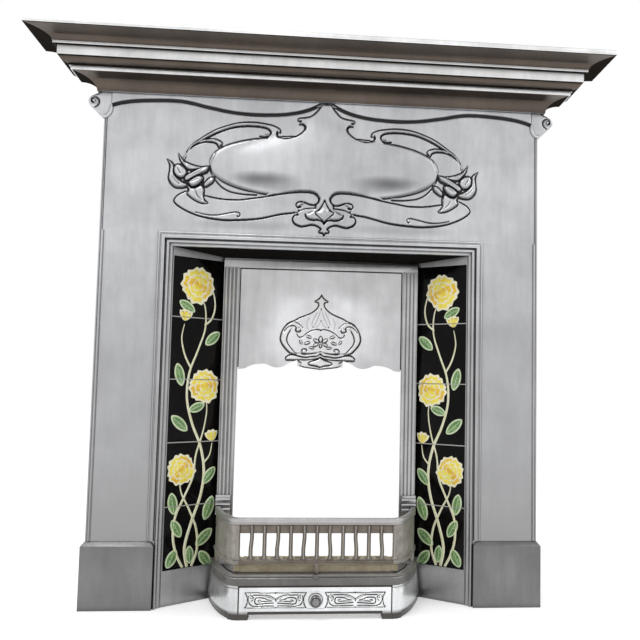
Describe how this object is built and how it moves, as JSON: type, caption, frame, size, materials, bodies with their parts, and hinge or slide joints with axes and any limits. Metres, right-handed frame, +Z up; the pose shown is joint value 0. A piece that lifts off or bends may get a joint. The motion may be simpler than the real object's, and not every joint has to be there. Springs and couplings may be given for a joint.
{
  "type": "cast iron fireplace",
  "caption": "Cast iron tiled fireplace with a mantel shelf, relief frieze, splayed tile panels, hood and bow-front grate.",
  "frame": {"origin": "on the hearth, midway in width and in depth of the whole fireplace, at the underside of the plinths", "axes": "+X to the viewer's right, -Y out into the room, +Z up"},
  "size_m": [1.377, 0.3408, 1.3418],
  "materials": {
    "frieze_iron": "satin, hand-polished casting, silver grey",
    "polished_iron": "polished bright",
    "dark_iron": "blacked, satin",
    "bar_iron": "brown grey, heat darkened",
    "rail_iron": "dark grey, satin",
    "burnt_iron": "burnt, tan brown, rough",
    "back_iron": "as cast, matt black",
    "bolt_steel": "plain steel",
    "tile_glaze": "gloss black glaze with painted flowers"
  },
  "bodies": {
    "casing": {"surround": "frieze_iron", "mantel_shelf": "polished_iron", "plinth_left": "polished_iron", "plinth_right": "polished_iron", "inner_frame": "polished_iron", "hood": "polished_iron", "base_wing_left": "polished_iron", "base_wing_right": "polished_iron", "tile_panel_left": "dark_iron", "tile_panel_right": "dark_iron", "soffit_panel": "dark_iron", "base_rail": "rail_iron", "tile_backplate_left": "back_iron", "tile_backplate_right": "back_iron", "throat": "back_iron", "backplate_bolt_left_1": "bolt_steel", "backplate_bolt_left_2": "bolt_steel", "backplate_bolt_right_1": "bolt_steel", "backplate_bolt_right_2": "bolt_steel", "frame_bolt_left_1": "bolt_steel", "frame_bolt_left_2": "bolt_steel", "frame_bolt_right_1": "bolt_steel", "frame_bolt_right_2": "bolt_steel", "hood_bolt_left_1": "bolt_steel", "hood_bolt_left_2": "bolt_steel", "hood_bolt_right_1": "bolt_steel", "hood_bolt_right_2": "bolt_steel", "throat_bolt_left": "bolt_steel", "throat_bolt_right": "bolt_steel", "shelf_bolt_left": "bolt_steel", "shelf_bolt_right": "bolt_steel", "damper_pin": "bolt_steel", "tile_left_1": "tile_glaze", "tile_left_2": "tile_glaze", "tile_left_3": "tile_glaze", "tile_left_4": "tile_glaze", "tile_left_5": "tile_glaze", "tile_right_1": "tile_glaze", "tile_right_2": "tile_glaze", "tile_right_3": "tile_glaze", "tile_right_4": "tile_glaze", "tile_right_5": "tile_glaze"},
    "fire_bars": {"fire_bars": "bar_iron"},
    "bottom_grate": {"bottom_grate": "burnt_iron"},
    "cover": {"ashpan_cover": "polished_iron", "ashpan_knob": "polished_iron"},
    "damper": {"damper_flap": "back_iron"}
  },
  "joints": [
    {"name": "fire_bars_lift", "type": "slide", "parent": "casing", "child": "fire_bars", "axis": [0, 0, 1], "range_m": [0, 0.08]},
    {"name": "bottom_grate_lift", "type": "slide", "parent": "casing", "child": "bottom_grate", "axis": [0, 0, 1], "range_m": [0, 0.06]},
    {"name": "ashpan_cover_slide", "type": "slide", "parent": "casing", "child": "cover", "axis": [0, -1, 0], "range_m": [0, 0.12]},
    {"name": "damper_hinge", "type": "hinge", "parent": "casing", "child": "damper", "pos_m": [0, 0.15436, 0.7897], "axis": [-1, 0, 0], "range_deg": [0, 70]}
  ]
}
